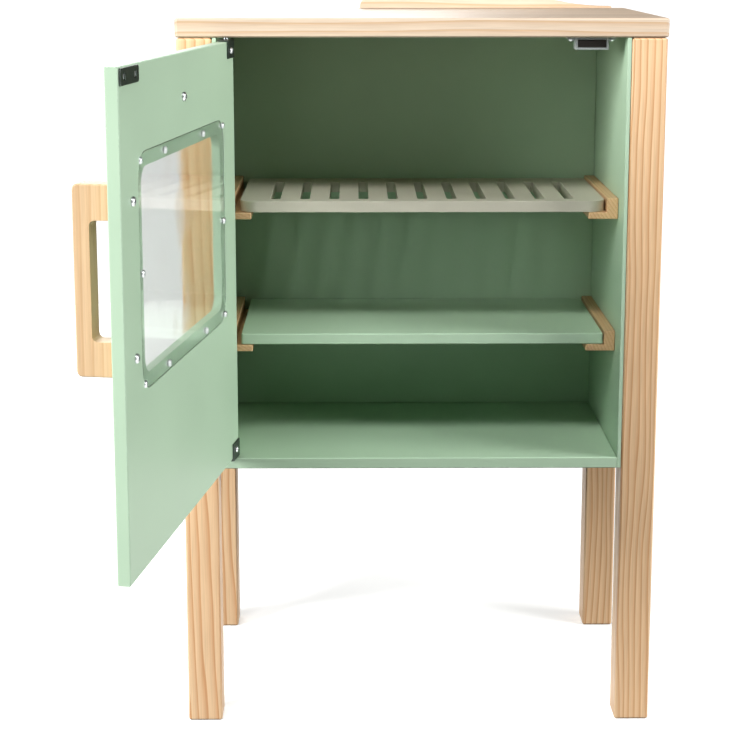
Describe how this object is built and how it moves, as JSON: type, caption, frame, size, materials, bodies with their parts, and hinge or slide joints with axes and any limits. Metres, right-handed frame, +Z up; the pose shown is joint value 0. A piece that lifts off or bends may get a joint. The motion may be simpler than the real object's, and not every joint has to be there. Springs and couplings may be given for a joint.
{
  "type": "toy kitchen",
  "caption": "Toy kitchen oven unit: pine legs and worktop round a mint oven box with a slotted rack, a tray and a side-hinged door with a clear window, handle and knob.",
  "frame": {"origin": "middle of the bottom of the bounding box, at floor level, with the door standing open", "axes": "+X to the right and +Y to the back as seen from the front, +Z up"},
  "size_m": [0.4272, 0.5496, 0.5978],
  "materials": {
    "pine": "planed pine with a clear satin lacquer",
    "beech": "sanded light hardwood with a clear satin lacquer",
    "mint_paint": "fibreboard with satin mint-green paint",
    "grey_paint": "fibreboard with satin warm-grey paint",
    "clear_acrylic": "clear polished acrylic sheet",
    "zinc_steel": "bright zinc-plated steel",
    "dark_steel": "black zinc-plated steel",
    "nylon": "moulded grey nylon",
    "magnet": "sintered ferrite magnet with steel pole plates"
  },
  "bodies": {
    "cabinet": {"worktop": "pine", "upstand": "pine", "leg_front_left": "pine", "leg_front_right": "pine", "leg_rear_left": "pine", "leg_rear_right": "pine", "dowel_front_left": "beech", "dowel_front_right": "beech", "dowel_rear_left": "beech", "dowel_rear_right": "beech", "side_board_left": "mint_paint", "side_board_right": "mint_paint", "floor_board": "mint_paint", "back_board": "mint_paint", "rack_rail_left": "beech", "rack_rail_right": "beech", "tray_rail_left": "beech", "tray_rail_right": "beech", "pivot_bush_top": "nylon", "pivot_bush_bottom": "nylon", "catch_body": "nylon", "catch_magnet": "magnet", "catch_screw_1": "zinc_steel", "catch_screw_2": "zinc_steel"},
    "door": {"door_panel": "mint_paint", "window_pane": "clear_acrylic", "pane_screw_1": "zinc_steel", "pane_screw_2": "zinc_steel", "pane_screw_3": "zinc_steel", "pane_screw_4": "zinc_steel", "pane_screw_5": "zinc_steel", "pane_screw_6": "zinc_steel", "pane_screw_7": "zinc_steel", "pane_screw_8": "zinc_steel", "pane_screw_9": "zinc_steel", "pane_screw_10": "zinc_steel", "handle": "beech", "handle_screw_upper": "zinc_steel", "handle_screw_lower": "zinc_steel", "pivot_pin_top": "zinc_steel", "pivot_pin_bottom": "zinc_steel", "pivot_bracket_top": "dark_steel", "pivot_bracket_bottom": "dark_steel", "bracket_screw_top": "zinc_steel", "bracket_screw_bottom": "zinc_steel", "strike_plate": "dark_steel", "strike_screw_1": "zinc_steel", "strike_screw_2": "zinc_steel"},
    "knob": {"knob": "beech", "knob_screw": "zinc_steel"},
    "rack": {"rack": "grey_paint"},
    "tray": {"tray": "mint_paint"}
  },
  "joints": [
    {"name": "door_hinge", "type": "hinge", "parent": "cabinet", "child": "door", "pos_m": [-0.13457, 0.03632, 0.4], "axis": [0, 0, -1], "range_deg": [-99, 20]},
    {"name": "knob_turn", "type": "hinge", "parent": "door", "child": "knob", "pos_m": [-0.16376, -0.11533, 0.5362], "axis": [-0.9877, 0.1564, 0], "continuous": true},
    {"name": "rack_slide", "type": "slide", "parent": "cabinet", "child": "rack", "axis": [0, -1, 0], "range_m": [0, 0.017]},
    {"name": "tray_slide", "type": "slide", "parent": "cabinet", "child": "tray", "axis": [0, -1, 0], "range_m": [0, 0.017]}
  ]
}
